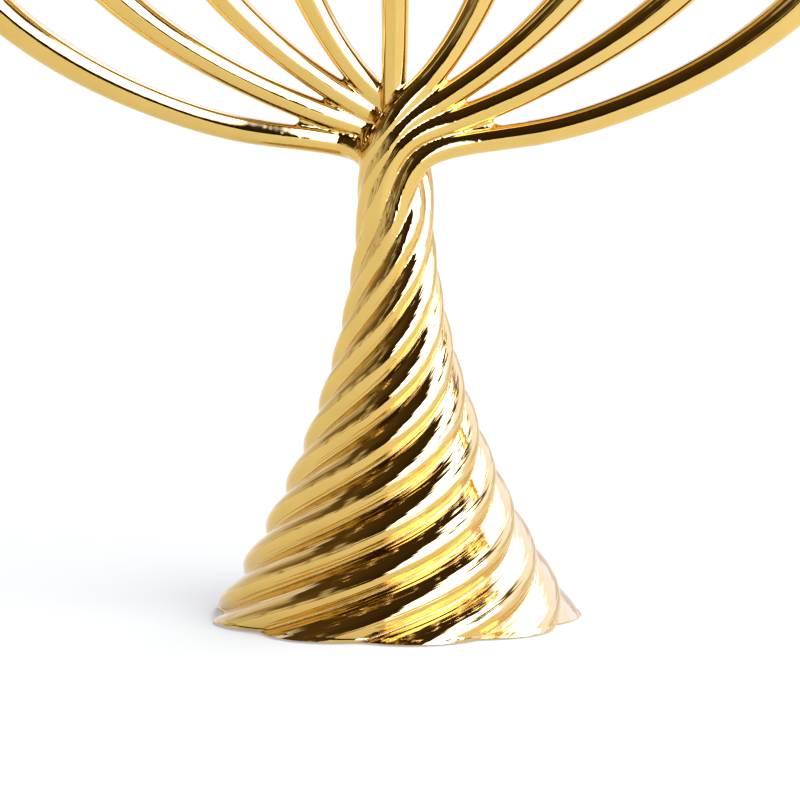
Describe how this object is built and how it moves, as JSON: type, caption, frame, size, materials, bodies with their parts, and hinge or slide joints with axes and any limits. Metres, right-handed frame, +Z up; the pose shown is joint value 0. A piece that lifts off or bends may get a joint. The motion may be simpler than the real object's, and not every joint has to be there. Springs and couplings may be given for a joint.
{
  "type": "menorah",
  "caption": "Hanukkah candle holder: a twisted, fluted hollow foot whose flutes rise and part into curved branches, each ending in a candle cup, with a taller middle one.",
  "frame": {"origin": "centre of the underside, on the surface it stands on", "axes": "+X along the row of cups, +Z up, -Y towards the viewer"},
  "size_m": [0.3258, 0.1181, 0.29],
  "materials": {
    "polished_gold": "mirror-polished gold plate",
    "steel": "zinc-plated",
    "felt": "pressed wool felt"
  },
  "bodies": {
    "root": {"twisted_foot": "polished_gold", "crown": "polished_gold", "branch_left_4": "polished_gold", "branch_left_3": "polished_gold", "branch_left_2": "polished_gold", "branch_left_1": "polished_gold", "branch_middle": "polished_gold", "branch_right_1": "polished_gold", "branch_right_2": "polished_gold", "branch_right_3": "polished_gold", "branch_right_4": "polished_gold", "candle_cup_left_4": "polished_gold", "candle_cup_left_3": "polished_gold", "candle_cup_left_2": "polished_gold", "candle_cup_left_1": "polished_gold", "candle_cup_middle": "polished_gold", "candle_cup_right_1": "polished_gold", "candle_cup_right_2": "polished_gold", "candle_cup_right_3": "polished_gold", "candle_cup_right_4": "polished_gold", "base_plate": "steel", "tie_rod": "steel", "tie_rod_washer": "steel", "tie_rod_nut": "steel", "felt_pad": "felt"}
  },
  "joints": []
}
